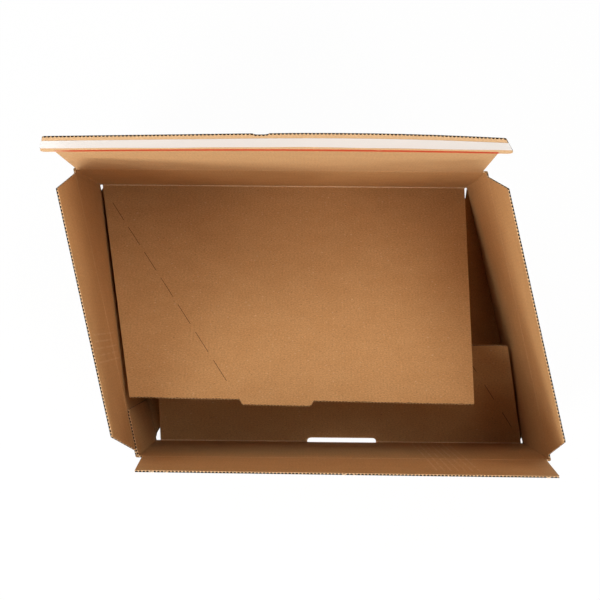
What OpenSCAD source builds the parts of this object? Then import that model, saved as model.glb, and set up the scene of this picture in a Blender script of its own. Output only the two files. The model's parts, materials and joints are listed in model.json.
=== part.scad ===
// Auto-lock carton with a self-seal lid, half opened out of its flat state.
// One folded sheet of thin corrugated board stands on its lower rim, its four walls leaning
// out of square, its glued bottom flaps still rising inside, its four top flaps upright.
// X runs to the right along the front wall, Y runs to the rear where the lid is, Z is up.

/* [Box body] */
// Inside width, measured along the front wall
inside_width = 400; // [360:1:440]
// Inside depth, measured along a side wall
inside_depth = 285; // [270:1:300]
// Height of the four walls up to the top creases
wall_height = 175; // [160:1:200]
// Thickness of the corrugated board
board = 1.6; // [1.4:0.1:1.8]
// How far the box is out of square
skew_angle = 12.8; // [8:0.1:13]
// Width of the glue lap inside the left wall
lap_width = 45.5; // [40:0.5:55]
// Height of the glue lap's lower edge above the rim
lap_foot = 4.5; // [4:0.5:8]
// Distance from the wall's top down to the glue lap's upper edge
lap_drop = 3; // [2.5:0.5:8]
// How far the slot between two top flaps reaches along each wall from their corner
corner_slot_reach = 4; // [3:0.5:5]
// How far that slot is cut down below the creases
corner_slot_depth = 4; // [3.5:0.5:6]

/* [Top creases] */
// Gap left in the groove of each top crease
crease_gap = 0.5; // [0.4:0.05:0.7]
// How far each hinge line stands outside the wall's outer face
hinge_out = 0.15; // [0.1:0.05:0.25]

/* [Side top flaps] */
// Length of a side top flap from its crease to its free edge
side_flap_length = 141.5; // [130:0.5:142]
// Distance from a wall corner to the start of a side top flap
side_flap_shoulder = 5.5; // [5:0.5:8]
// How far the free edge stops short of the sharp corner
side_flap_recess_sharp = 32.3; // [32.3:0.1:36]
// How far the left flap's free edge stops short of the blunt corner
left_flap_recess_blunt = 31.5; // [26:0.5:36]
// How far the right flap's free edge stops short of the blunt corner
right_flap_recess_blunt = 27.5; // [26:0.5:36]
// Inward lean of the left top flap
left_lean = 0.9; // [0:0.1:3]
// Inward lean of the right top flap
right_lean = 2.2; // [0:0.1:3]

/* [Front top flap] */
// Length of the front top flap from its crease to its free edge
front_flap_length = 141.5; // [130:0.5:150]
// Distance from a wall corner to the start of the front top flap
front_flap_shoulder = 4.2; // [4:0.1:7]
// How far its free edge stops short of each corner
front_flap_recess = 15.5; // [14:0.5:22]
// Inward lean of the front top flap
front_lean = 0.6; // [0:0.1:2]

/* [Lid] */
// Length of the lid from its crease to the tear line
lid_length = 185; // [170:1:195]
// Length of the lid's sealing edge beyond the tear line
seal_length = 40; // [36:1:44]
// Distance from a wall corner to the start of the lid
lid_shoulder = 3; // [2:0.1:4]
// How far the lid stops short of each corner at the tear line
lid_recess = 14; // [12:0.5:18]
// How far the sealing edge stops short of each corner at the tear line
seal_recess = 2; // [1:0.5:4]
// How far the free edge stops short of each corner
edge_recess = 10; // [8:0.5:14]
// Inward lean of the lid
lid_lean = 0.4; // [0:0.1:2]
// Outward lean of the sealing edge
seal_lean = 12.5; // [5:0.5:15]
// Width of the finger notch in the free edge
notch_width = 14; // [9:0.5:16]
// Depth of the finger notch
notch_depth = 2.8; // [2:0.1:3.5]
// Distance of the notch from the lid's middle, to the left
notch_offset = 12; // [0:1:20]

/* [Sealing strips] */
// Width of the red tear tape
tape_width = 4; // [2:0.5:5]
// Thickness of the tear tape
tape_thick = 0.15; // [0.1:0.05:0.2]
// Distance from the tear line to the tape
tape_gap = 0.4; // [0.3:0.1:1]
// Width of the white release liner
liner_width = 22; // [18:0.5:24]
// Thickness of the release liner
liner_thick = 0.12; // [0.1:0.02:0.2]
// Distance from the tear line to the liner
liner_gap = 10; // [9:0.5:12]
// How much narrower the adhesive is than its liner, at each long edge
glue_margin = 1.5; // [1:0.5:3]
// Thickness of the adhesive
glue_thick = 0.15; // [0.1:0.05:0.2]

/* [Bottom flaps] */
// Length of the rear bottom flap from its crease to its free edge
rear_base_length = 277; // [265:0.5:277]
// Length of the front bottom flap from its crease to its free edge
front_base_length = 136; // [125:0.5:138]
// Length of each side bottom flap from its crease to its free edge
side_base_length = 105; // [98:1:110]
// Width of the lock tab at its root
tab_width = 72; // [66:1:74]
// How far the lock tab stands out of the free edge
tab_depth = 6; // [4:0.5:8]
// Clearance of the lock slot beyond the tab at each end
slot_clearance = 1.3; // [1:0.1:3]
// How far the lock slot reaches into the front bottom flap
slot_in_flap = 8; // [6:0.1:9]
// How far the lock slot reaches up the front wall
slot_in_wall = 8; // [6:0.5:12]
// How far the flutes are crushed where two bottom flaps are glued together
glue_crush = 0.2; // [0.15:0.05:0.3]

/* [Hidden] */
// Which node is drawn
// Run of the side walls to the left, and their depth, as seen from above
lean_x = inside_depth * sin(skew_angle);
depth_y = inside_depth * cos(skew_angle);
// The sharp corner of the walls, and how the fold of a glued bottom rises from it
sharp_corner = 90 - skew_angle;
fold_rise = acos(cos(45) / cos(sharp_corner / 2));
base_tilt = asin(sin(fold_rise) / sin(45));
// Inside corners of the walls
front_left = [-inside_width / 2 + lean_x / 2, -depth_y / 2];
front_right = front_left + [inside_width, 0];
rear_left = front_left + [-lean_x, depth_y];
rear_right = front_right + [-lean_x, depth_y];
// The lid's free edge reaches behind the rear wall, so the whole moves forward by half of that
seal_reach = seal_length * sin(seal_lean);
lid_reach = lid_length * sin(lid_lean) + board * (1 - cos(seal_lean));
shift_y = -(seal_reach - lid_reach) / 2;
// Half of the crease gap is left on each side of a hinge line
crease_half = crease_gap / 2;
// How far the two halves of a folded side bottom flap run into each other at their fold
fold_bead = 0.25;
far = 1000;

// Steps along a line from point a towards point b
function along(a, b, d) = a + (b - a) / norm(b - a) * d;
// Points of one rounded corner at b, cut back by d along both sides
function bend(a, b, c, d, n) =
  d <= 0 ? [b] :
  let (p = along(b, a, d), q = along(b, c, d))
  [for (i = [0:n]) let (s = i / n) (1 - s) * (1 - s) * p + 2 * s * (1 - s) * b + s * s * q];
// An outline whose corners are rounded, each by its own amount
function rounded(pts, cut) =
  let (n = len(pts))
  [for (i = [0:n - 1]) each bend(pts[(i + n - 1) % n], pts[i], pts[(i + 1) % n], cut[i], 4)];
// Points of the folded outer corner, an arc round the inside corner
function fold_arc(corner, from, to) =
  [for (i = [0:3]) corner + board * [cos(from + (to - from) * i / 3), sin(from + (to - from) * i / 3)]];
function inner_outline() = [front_left, front_right, rear_right, rear_left];
function outer_outline() = concat(
  fold_arc(front_left, 180 + skew_angle, 270),
  fold_arc(front_right, 270, 360 + skew_angle),
  fold_arc(rear_right, skew_angle, 90),
  fold_arc(rear_left, 90, 180 + skew_angle)
);

// Places a wall's own frame: x along the wall, y inward from its inner face
module at_front() { translate([front_left[0], front_left[1] + shift_y, 0]) children(); }
module at_rear() {
  translate([rear_right[0], rear_right[1] + shift_y, 0]) rotate([0, 0, 180]) children();
}
module at_left() {
  translate([rear_left[0], rear_left[1] + shift_y, 0]) rotate([0, 0, 270 + skew_angle]) children();
}
module at_right() {
  translate([front_right[0], front_right[1] + shift_y, 0]) rotate([0, 0, 90 + skew_angle]) children();
}

// Leans a top flap inward about its own hinge line
module leaning(angle) {
  translate([0, -board - hinge_out, wall_height])
    rotate([-angle, 0, 0])
      translate([0, board + hinge_out, 0])
        children();
}
// A flat piece of board standing on the top crease, outline given as x and height
module upright_board(outline) {
  rotate([90, 0, 0]) linear_extrude(height = board) polygon(outline);
}
// The slanted cut that frees a top flap to fold inward, along its foot
module foot_bevel(from, to) {
  translate([from, 0, 0])
    rotate([90, 0, 90])
      linear_extrude(height = to - from)
        polygon([
          [-board - 0.01, crease_half], [-board - 0.01, -1], [1, -1], [1, crease_half + board + 1]
        ]);
}
// The matching cut along the top of a wall
module wall_bevel(from, to) {
  translate([from, 0, wall_height])
    rotate([90, 0, 90])
      linear_extrude(height = to - from)
        polygon([
          [-board - 0.01, -crease_half], [1, -crease_half - board - 1], [1, 1], [-board - 0.01, 1]
        ]);
}
// A flat piece of board rising inward from a wall's foot, its layers counted from below
module rising_board(outline, layer) {
  rotate([base_tilt, 0, 0])
    translate([0, 0, layer * (board - glue_crush)])
      linear_extrude(height = board)
        polygon(outline);
}

// Everything on one side of the upright plane that halves the sharp corner, and a little beyond
module near_side() {
  rotate([0, 0, sharp_corner / 2])
    translate([-far / 2, fold_bead - far, -far / 2])
      cube([far, far, far]);
}
// A side bottom flap in its own wall's frame, which starts at the sharp corner
module side_base() {
  reach = side_base_length;
  tab_reach = reach - 3;
  blunt_end = inside_depth - 0.8;
  toe = blunt_end - 11.5;
  intersection() {
    rising_board(
      rounded(
        [
          [7, 0], [blunt_end, 0], [toe, 6], [toe - (reach - 6) / tan(50), reach],
          [reach - 4, reach], [3, 7]
        ],
        [0, 0, 0, 6, 0, 0]
      ), 0
    );
    near_side();
  }
  mirror([sin(sharp_corner / 2), -cos(sharp_corner / 2), 0])
    intersection() {
      rising_board(
        rounded(
          [[5.5, 3], [tab_reach, 3], [tab_reach, reach + 4], [2.5, 5]],
          [0, 4, 0, 0]
        ), 0
      );
      near_side();
    }
}
// The long rear bottom flap in the rear wall's frame, with its lock tab
module rear_base() {
  foot = board * 0.5;
  length = rear_base_length;
  middle = inside_width - 198;
  half = tab_width / 2;
  rising_board(
    rounded(
      [
        [1.4, foot], [9, length], [middle - half, length],
        [middle - half + 2.5, length + tab_depth], [middle + half - 2.5, length + tab_depth],
        [middle + half, length], [inside_width - 54.8, length], [inside_width - 3.6, foot]
      ],
      [0, 3, 1, 2, 2, 1, 3, 0]
    ), 1
  );
}
// The short front bottom flap in the front wall's frame
module front_base() {
  foot = board * 0.5;
  length = front_base_length;
  rising_board(
    rounded(
      [[5.7, foot], [inside_width - 2, foot], [inside_width - 26.8, length], [8.5, length]],
      [0, 0, 8, 6]
    ), 1
  );
}
// The lock slot, cut through the front crease
module lock_slot() {
  middle = 202.7;
  half = tab_width / 2 + slot_clearance;
  translate([middle - half, -2 * board, -1]) cube([2 * half, 3 * board, 1 + slot_in_wall]);
  rotate([base_tilt, 0, 0])
    translate([0, 0, -board])
      linear_extrude(height = 4 * board)
        polygon(
          rounded(
            [
              [middle - half, -board], [middle + half, -board],
              [middle + half, slot_in_flap], [middle - half, slot_in_flap]
            ],
            [0, 0, 5, 5]
          )
        );
}

// The slot that parts two neighbouring top flaps, over the corner of their walls
module corner_slot(corner) {
  translate([corner[0], corner[1] + shift_y, wall_height - corner_slot_depth])
    cylinder(r = corner_slot_reach, h = corner_slot_depth + 1, $fn = 24);
}

module carton_body() color([0.74, 0.55, 0.37]) {
  difference() {
    union() {
      translate([0, shift_y, 0])
        linear_extrude(height = wall_height - crease_half)
          difference() {
            polygon(outer_outline());
            polygon(inner_outline());
          }
      at_left()
        translate([inside_depth - lap_width, -board / 2, lap_foot])
          cube([lap_width + 0.8, 1.5 * board, wall_height - lap_drop - lap_foot]);
      at_left() side_base();
      at_right() side_base();
      at_rear() rear_base();
      at_front() front_base();
    }
    at_front() lock_slot();
    for (corner = inner_outline()) corner_slot(corner);
    at_front() wall_bevel(front_flap_shoulder - 1, inside_width - front_flap_shoulder + 1);
    at_rear() wall_bevel(lid_shoulder - 1, inside_width - lid_shoulder + 1);
    at_left() wall_bevel(side_flap_shoulder - 1, inside_depth - side_flap_shoulder + 1);
    at_right() wall_bevel(side_flap_shoulder - 1, inside_depth - side_flap_shoulder + 1);
  }
}

// The side flaps are alike: x starts at the sharp corner in both walls' frames
module side_flap(lean, recess_blunt) {
  leaning(lean)
    difference() {
      upright_board(
        rounded(
          [
            [side_flap_shoulder, crease_half], [inside_depth - side_flap_shoulder, crease_half],
            [inside_depth - recess_blunt, side_flap_length],
            [side_flap_recess_sharp, side_flap_length]
          ],
          [0, 0, 1.2, 1.2]
        )
      );
      foot_bevel(side_flap_shoulder - 1, inside_depth - side_flap_shoulder + 1);
    }
}
module left_side_flap() color([0.76, 0.57, 0.39])
  at_left() side_flap(left_lean, left_flap_recess_blunt);
module right_side_flap() color([0.76, 0.57, 0.39])
  at_right() side_flap(right_lean, right_flap_recess_blunt);

module front_flap() color([0.76, 0.57, 0.39])
  at_front()
    leaning(front_lean)
      difference() {
        upright_board(
          rounded(
            [
              [front_flap_shoulder, crease_half], [inside_width - front_flap_shoulder, crease_half],
              [inside_width - front_flap_recess, front_flap_length],
              [front_flap_recess, front_flap_length]
            ],
            [0, 0, 1.2, 1.2]
          )
        );
        foot_bevel(front_flap_shoulder - 1, inside_width - front_flap_shoulder + 1);
      }

// Places the sealing edge's own frame: its foot is the tear line, on the lid's inner face
module at_seal() {
  at_rear()
    leaning(lid_lean)
      translate([0, 0, lid_length])
        rotate([seal_lean + lid_lean, 0, 0])
          children();
}
module lid_flap() color([0.76, 0.57, 0.39]) {
  at_rear()
    leaning(lid_lean)
      difference() {
        upright_board([
          [lid_shoulder, crease_half], [inside_width - lid_shoulder, crease_half],
          [inside_width - lid_recess, lid_length], [lid_recess, lid_length]
        ]);
        foot_bevel(lid_shoulder - 1, inside_width - lid_shoulder + 1);
      }
  notch_at = inside_width / 2 + notch_offset;
  at_seal()
    upright_board(
      rounded(
        [
          [seal_recess, 0], [inside_width - seal_recess, 0],
          [inside_width - edge_recess, seal_length],
          [notch_at + notch_width / 2, seal_length], [notch_at + notch_width / 4, seal_length - notch_depth],
          [notch_at - notch_width / 4, seal_length - notch_depth], [notch_at - notch_width / 2, seal_length],
          [edge_recess, seal_length]
        ],
        [5, 5, 2, 2, 2, 2, 2, 2]
      )
    );
}
// How far the sealing edge stops short of the corners at a height above the tear line
function seal_end(height) = seal_recess + (edge_recess - seal_recess) * height / seal_length;
// A thin strip on the inner face of the sealing edge, its ends this far inside the board's ends
module seal_strip(low, high, inset, under, thick) {
  at_seal()
    translate([0, under + thick, 0])
      rotate([90, 0, 0])
        linear_extrude(height = thick)
          polygon([
            [seal_end(low) + inset, low], [inside_width - seal_end(low) - inset, low],
            [inside_width - seal_end(high) - inset, high], [seal_end(high) + inset, high]
          ]);
}
module tear_tape() color([0.80, 0.28, 0.16])
  seal_strip(tape_gap, tape_gap + tape_width, lid_recess - seal_recess, 0, tape_thick);
module adhesive_strip() color([0.93, 0.90, 0.80])
  seal_strip(
    liner_gap + glue_margin, liner_gap + liner_width - glue_margin, 1.5, 0, glue_thick
  );
module release_liner() color([0.97, 0.96, 0.93])
  seal_strip(liner_gap, liner_gap + liner_width, 0.5, glue_thick, liner_thick);

carton_body();
lid_flap();
front_flap();
left_side_flap();
right_side_flap();
adhesive_strip();
release_liner();
tear_tape();
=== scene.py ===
"""Auto-lock carton with a self-seal lid, dressed in real fluted board, paper and tape."""

import json
import math
import random

import bpy
import numpy as np
from mathutils import Matrix, Vector


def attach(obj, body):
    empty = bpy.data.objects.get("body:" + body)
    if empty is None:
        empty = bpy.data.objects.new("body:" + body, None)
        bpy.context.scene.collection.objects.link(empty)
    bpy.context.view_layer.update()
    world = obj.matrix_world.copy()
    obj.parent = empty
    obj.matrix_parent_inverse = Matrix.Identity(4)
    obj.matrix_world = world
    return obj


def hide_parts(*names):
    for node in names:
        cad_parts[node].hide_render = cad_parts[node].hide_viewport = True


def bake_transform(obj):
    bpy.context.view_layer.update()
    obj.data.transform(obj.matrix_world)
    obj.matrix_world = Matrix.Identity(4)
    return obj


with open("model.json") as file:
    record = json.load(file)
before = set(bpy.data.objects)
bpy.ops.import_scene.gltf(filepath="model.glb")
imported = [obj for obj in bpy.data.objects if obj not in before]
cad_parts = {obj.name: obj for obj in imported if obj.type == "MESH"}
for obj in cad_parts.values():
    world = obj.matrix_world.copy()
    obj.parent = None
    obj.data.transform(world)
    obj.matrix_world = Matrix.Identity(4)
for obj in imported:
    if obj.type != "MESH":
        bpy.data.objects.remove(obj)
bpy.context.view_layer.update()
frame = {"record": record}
MM = 0.001

# Sizes
# The carton's own sizes, in metres. The first three are those of the solids.
WIDTH = 400 * MM
DEPTH = 285 * MM
BOARD = 1.6 * MM
PAPER = 0.17 * MM  # one face of the board
MEDIUM = 0.12 * MM  # the waved sheet between the faces
FLUTE = 3.17 * MM  # one wave of it
FLUTE_RISE = 0.57 * MM  # how far the waves swing to each side
FLUTE_STEP = FLUTE / 8  # how finely a wave is drawn
FLUTE_STEEP, FLUTE_SHIFT = 2.6, 1.1  # flat-topped waves that stay longer at the inner face
CRUSHED = 0.35 * MM  # how deep the inner hollows are pressed shut along a cut edge
CUT = 0.5 * MM  # width of a perforating cut
HINGE_OUT = 0.15 * MM  # how far a hinge line stands outside its wall's outer face
TILT = math.radians(36.27)  # how steeply the glued bottom flaps rise
GLUED_LAYER = BOARD - 0.2 * MM  # a board's thickness where two are glued together
CREASE_HALF = 2.4 * MM  # the soft zone of a top crease, on each side of its hinge line

# Where each piece starts along the cut sheet, in metres. The kraft paper's pattern is laid by it.
SHEET_AT = {
    "rear": 0.0, "left": 0.45, "right": 0.8, "front": 1.15,
    "front_left_fold": 1.5, "front_right_fold": 1.6, "rear_right_fold": 1.7, "rear_left_fold": 1.8,
    "glue_lap": 1.9, "rear_bottom": 2.0, "front_bottom": 2.5,
    "left_bottom": 3.0, "right_bottom": 3.4, "left_tab": 3.8, "right_tab": 4.2,
}
OUTSIDE = 7.0  # how far off the outer faces lie, so that their paper differs

# Wear and painted light: 1 is paper torn pale, 0 is plain kraft, -1 is the dark of a hollow,
# painted shade
TORN, PLAIN, PAINTED_HOLLOW_SHADE = 1.0, 0.0, -1.0
# The outer paper's cut edge is darkened with painted shade; the inner paper and the waves are pale
# cut paper
CUT_FACE, CUT_MEDIUM, PAINTED_SHADE_CUT_OUTSIDE = 0.55, 0.3, -0.9  # a cut edge's inner paper, waves, outer paper
# The ridge's pale is a painted highlight, the lid's and sealing edge's pale a painted sheen, the
# slot end's dark painted shade; the crease is rubbed pale
PAINTED_HIGHLIGHT_RIDGE, RUBBED_CREASE, PAINTED_SHEEN_LID, PAINTED_SHEEN_SEAL, PAINTED_SHADE_SLOT_END = 0.55, 0.12, 0.12, 0.3, -0.6

JOINTS = {joint["name"]: joint for joint in frame["record"]["behaviour"]["joints"]}
WALL_TOP = JOINTS["lid_crease"]["pos_m"][2]


def on_sheet(piece, height=0.0):
    """A piece's place on the cut sheet, at a height over its wall's foot."""
    return SHEET_AT[piece], height


# Camera
def photo_camera():
    """The view looks almost straight down into the carton, from 1.39 m over the lid crease."""
    focal_px, frame_px, sensor_mm = 1430.75, 600, 36
    turn = Matrix.Rotation(math.radians(-0.497), 3, "Z")
    turn = turn @ Matrix.Rotation(math.radians(-0.403), 3, "X")
    turn = turn @ Matrix.Rotation(math.radians(-0.255), 3, "Y")
    data = bpy.data.cameras.new("photo_camera")
    data.sensor_width = sensor_mm
    data.lens = focal_px / frame_px * sensor_mm
    data.clip_end = 50
    camera = bpy.data.objects.new("photo_camera", data)
    bpy.context.collection.objects.link(camera)
    place = turn.transposed().to_4x4()
    place.translation = Vector(JOINTS["lid_crease"]["pos_m"]) + Vector((26.2, -136.76, 1386.0)) * MM
    camera.matrix_world = place
    bpy.context.scene.camera = camera


photo_camera()


# Walls' frames
class Wall:
    """A wall's own frame: x along it, y inward from its inner face, z up from its rim."""

    def __init__(self, crease, length):
        joint = JOINTS[crease]
        self.along = -Vector(joint["axis"])
        self.inward = Vector((-self.along.y, self.along.x, 0.0))
        self.length = length
        middle = Vector(joint["pos_m"]) + self.inward * (BOARD + HINGE_OUT)
        self.corner = middle - self.along * (length / 2)
        self.corner.z = 0.0

    def put(self, p):
        """Points of this frame, as rows, in the row frame."""
        axes = np.array([self.along, self.inward, Vector((0, 0, 1))])
        return p @ axes + np.array(self.corner)


FRONT = Wall("front_flap_crease", WIDTH)
REAR = Wall("lid_crease", WIDTH)
LEFT = Wall("left_flap_crease", DEPTH)
RIGHT = Wall("right_flap_crease", DEPTH)


def turned(p, angle, y, z):
    """Points turned inward by an angle, or by one angle each, about the line y, z along x."""
    c, s = np.cos(angle), np.sin(angle)
    dy, dz = p[:, 1] - y, p[:, 2] - z
    return np.stack([p[:, 0], y + dy * c + dz * s, z - dy * s + dz * c], axis=1)


def on_flap(wall, lean):
    """A place on a top flap: z is counted from the crease; lean is a function of x."""

    def put(p):
        q = p + np.array([0.0, 0.0, WALL_TOP])
        return wall.put(turned(q, lean(q[:, 0]), -BOARD - HINGE_OUT, WALL_TOP))

    return put


def on_bottom(wall, layer, tilt=lambda x: TILT):
    """A place on a rising bottom flap: z is counted inward from the crease."""

    def put(p):
        flat = np.stack([p[:, 0], p[:, 2], layer * GLUED_LAYER - p[:, 1]], axis=1)
        return wall.put(turned(flat, -tilt(p[:, 0]), 0.0, 0.0))

    return put


# Board
def chain_at(chain, x):
    """Height of a chain of (x, z) points at x; two points may share one x."""
    xs = np.array([p[0] for p in chain], float)
    zs = np.array([p[1] for p in chain], float)
    xs = xs + np.arange(len(xs)) * 1e-9
    return np.interp(x, xs, zs)


def columns(low, high, step):
    """The x places at which a board is cut into columns: every corner, and even steps between."""
    marks = {round(p[0], 7) for p in low + high}
    for chain in (low, high):
        for a, b in zip(chain, chain[1:]):
            if abs(a[0] - b[0]) < 1e-6:
                marks |= {round(a[0] - 2e-6, 7), round(a[0] + 2e-6, 7)}
    start = max(low[0][0], high[0][0])
    end = min(low[-1][0], high[-1][0])
    n = max(2, int((end - start) / step))
    marks |= {round(start + (end - start) * i / n, 7) for i in range(n + 1)}
    return np.array(sorted(m for m in marks if start - 1e-7 <= m <= end + 1e-7))


def slab(low, high, y_out, y_in, step, rows, edge=None):
    """A closed sheet between two chains: points, faces. edge(x) moves its high side.

    y_out may be a function of x.
    """
    xs = columns(low, high, step)
    z0, z1 = chain_at(low, xs), chain_at(high, xs)
    if edge is not None:
        z1 = z1 + edge(xs)
    share = np.linspace(0, 1, rows + 1)
    z = z0[:, None] + (z1 - z0)[:, None] * share[None, :]
    x = np.repeat(xs[:, None], rows + 1, axis=1)
    one = np.stack([x.ravel(), np.zeros(x.size), z.ravel()], axis=1)
    outer, inner = one.copy(), one.copy()
    outer[:, 1], inner[:, 1] = y_out(x.ravel()) if callable(y_out) else y_out, y_in
    points = np.concatenate([outer, inner])
    wide, tall, back = len(xs), rows + 1, x.size
    faces = []
    for i in range(wide - 1):
        for j in range(rows):
            a, b = i * tall + j, (i + 1) * tall + j
            faces.append((a, b, b + 1, a + 1))
            faces.append((back + a, back + a + 1, back + b + 1, back + b))
        a, b = i * tall, (i + 1) * tall
        faces.append((a, back + a, back + b, b))
        a, b = a + rows, b + rows
        faces.append((a, b, back + b, back + a))
    for j in range(rows):
        faces.append((j, j + 1, back + j + 1, back + j))
        a = (wide - 1) * tall + j
        faces.append((a, back + a, back + a + 1, a + 1))
    return points, faces


def new_object(name, points, faces):
    mesh = bpy.data.meshes.new(name)
    mesh.from_pydata([tuple(p) for p in points], [], faces)
    mesh.update()
    thing = bpy.data.objects.new(name, mesh)
    bpy.context.collection.objects.link(thing)
    return thing


def socket_id(tree, name):
    return next(i.identifier for i in tree.interface.items_tree if i.name == name)


def flute_tree():
    """Waves a flat sheet along x and gives it the medium's thickness."""
    tree = bpy.data.node_groups.new("fluted_medium", "GeometryNodeTree")
    face = tree.interface
    face.new_socket("Sheet", in_out="INPUT", socket_type="NodeSocketGeometry")
    for name, value in (("Flute", FLUTE), ("Rise", FLUTE_RISE), ("Paper", MEDIUM)):
        socket = face.new_socket(name, in_out="INPUT", socket_type="NodeSocketFloat")
        socket.default_value = value
    face.new_socket("Kraft", in_out="INPUT", socket_type="NodeSocketMaterial")
    face.new_socket("Medium", in_out="OUTPUT", socket_type="NodeSocketGeometry")
    node, link = tree.nodes.new, tree.links.new
    given, out = node("NodeGroupInput"), node("NodeGroupOutput")

    def maths(kind, a, b=None):
        m = node("ShaderNodeMath")
        m.operation = kind
        for i, v in enumerate((a, b)):
            if v is None:
                continue
            if isinstance(v, (int, float)):
                m.inputs[i].default_value = v
            else:
                link(v, m.inputs[i])
        return m.outputs[0]

    split = node("ShaderNodeSeparateXYZ")
    link(node("GeometryNodeInputPosition").outputs[0], split.inputs[0])
    turns = maths("DIVIDE", split.outputs["X"], given.outputs["Flute"])
    wave = maths("SINE", maths("MULTIPLY", turns, 2 * math.pi))
    steep = maths("ADD", maths("MULTIPLY", wave, FLUTE_STEEP), FLUTE_SHIFT)
    flattened = maths("MAXIMUM", maths("MINIMUM", steep, 1.0), -1.0)
    rise = maths("MULTIPLY", flattened, given.outputs["Rise"])
    shift = node("ShaderNodeCombineXYZ")
    link(rise, shift.inputs["Y"])
    waved = node("GeometryNodeSetPosition")
    link(given.outputs["Sheet"], waved.inputs["Geometry"])
    link(shift.outputs[0], waved.inputs["Offset"])
    thick = node("ShaderNodeCombineXYZ")
    link(given.outputs["Paper"], thick.inputs["Y"])
    pull = node("GeometryNodeExtrudeMesh")
    pull.mode = "FACES"
    pull.inputs["Individual"].default_value = False
    link(waved.outputs["Geometry"], pull.inputs["Mesh"])
    link(thick.outputs[0], pull.inputs["Offset"])
    under = node("GeometryNodeFlipFaces")
    link(waved.outputs["Geometry"], under.inputs["Mesh"])
    both = node("GeometryNodeJoinGeometry")
    link(under.outputs[0], both.inputs[0])
    link(pull.outputs["Mesh"], both.inputs[0])
    shut = node("GeometryNodeMergeByDistance")
    shut.inputs["Distance"].default_value = 2e-6
    link(both.outputs[0], shut.inputs["Geometry"])
    real = node("GeometryNodeRealizeInstances")
    link(shut.outputs[0], real.inputs[0])
    coloured = node("GeometryNodeSetMaterial")
    link(real.outputs[0], coloured.inputs["Geometry"])
    link(given.outputs["Kraft"], coloured.inputs["Material"])
    link(coloured.outputs[0], out.inputs[0])
    return tree


FLUTES = flute_tree()


def shaped(thing):
    """A new mesh of an object as its modifiers leave it."""
    bpy.context.view_layer.update()
    graph = bpy.context.evaluated_depsgraph_get()
    return bpy.data.meshes.new_from_object(thing.evaluated_get(graph))


def medium(low, high, rows, kraft, edge=None):
    """The waved sheet of one board, as plain points and faces, a little inside its edges."""
    inset, least = 0.1 * MM, 0.05 * MM
    start, end = max(low[0][0], high[0][0]), min(low[-1][0], high[-1][0])
    xs = np.arange(start + FLUTE_STEP / 2, end, FLUTE_STEP)
    z0, z1 = chain_at(low, xs) + inset, chain_at(high, xs) - inset
    if edge is not None:
        z1 = z1 + edge(xs)
    z1 = np.maximum(z1, z0 + least)
    share = np.linspace(0, 1, rows + 1)
    z = z0[:, None] + (z1 - z0)[:, None] * share[None, :]
    x = np.repeat(xs[:, None], rows + 1, axis=1)
    tall = rows + 1
    points = np.stack([x.ravel(), np.zeros(x.size) - MEDIUM / 2, z.ravel()], axis=1)
    faces = [
        (i * tall + j, i * tall + j + 1, (i + 1) * tall + j + 1, (i + 1) * tall + j)
        for i in range(len(xs) - 1)
        for j in range(rows)
    ]
    flat = new_object("flat_medium", points, faces)
    waves = flat.modifiers.new("flutes", "NODES")
    waves.node_group = FLUTES
    waves[socket_id(FLUTES, "Kraft")] = kraft
    done = shaped(flat)
    flat.modifiers.remove(waves)
    co = np.empty(len(done.vertices) * 3, np.float32)
    done.vertices.foreach_get("co", co)
    co = co.reshape(-1, 3).astype(float)
    polys = [tuple(p.vertices) for p in done.polygons]
    bpy.data.objects.remove(flat)
    bpy.data.meshes.remove(done)
    return co, polys


def gathered(parts):
    """Several (points, faces) sets as one."""
    points, faces, count = [], [], 0
    for p, f in parts:
        points.append(p)
        faces += [tuple(i + count for i in face) for face in f]
        count += len(p)
    return np.concatenate(points), faces


def face_values(points, faces):
    """Middle and normal of every face, as rows."""
    sheet = new_object("measured", points, faces)
    middle, normal = np.empty(len(faces) * 3, np.float32), np.empty(len(faces) * 3, np.float32)
    sheet.data.polygons.foreach_get("center", middle)
    sheet.data.polygons.foreach_get("normal", normal)
    bpy.data.objects.remove(sheet)
    return middle.reshape(-1, 3), normal.reshape(-1, 3)


def board_wear_and_painted_shade(points, faces, cuts):
    """Wear and painted shade of a board's faces: pale on its cut edges, dark with painted shade in
    its outer flutes, in its cuts and on its outer paper's cut edge.
    """
    middle, normal = face_values(points, faces)
    y, facing = middle[:, 1], normal[:, 1]  # y is -BOARD outside and 0 inside
    steep = 0.3  # a face that looks less than this through the board is a cut edge
    edge = np.abs(facing) < steep
    wear_and_painted_light = np.where(edge, CUT_FACE, PLAIN)
    wear_and_painted_light[edge & (y < -1.1 * PAPER)] = CUT_MEDIUM
    # Painted shade on the outer paper's cut edge, from the hollows behind it
    wear_and_painted_light[edge & (y < -0.86 * BOARD)] = PAINTED_SHADE_CUT_OUTSIDE
    # Painted shade on the faces of the flute hollows inside the board
    wear_and_painted_light[(facing > steep) & (y < -0.7 * BOARD)] = PAINTED_HOLLOW_SHADE
    wear_and_painted_light[(facing < -steep) & (y > -0.93 * BOARD) & (y < -0.15 * BOARD)] = PAINTED_HOLLOW_SHADE
    # Painted shade inside each perforating cut
    for start, end in cuts:
        a, b = np.array(start), np.array(end)
        way = (b - a) / np.linalg.norm(b - a)
        from_a = middle[:, [0, 2]] - a
        run, off = from_a @ way, from_a @ np.array([-way[1], way[0]])
        near = (np.abs(off) < CUT) & (run > -CUT) & (run < np.linalg.norm(b - a) + CUT)
        wear_and_painted_light[near & (y > -BOARD + 0.05 * PAPER) & (y < -BOARD + 0.95 * PAPER)] = PAINTED_HOLLOW_SHADE
    return wear_and_painted_light


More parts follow.
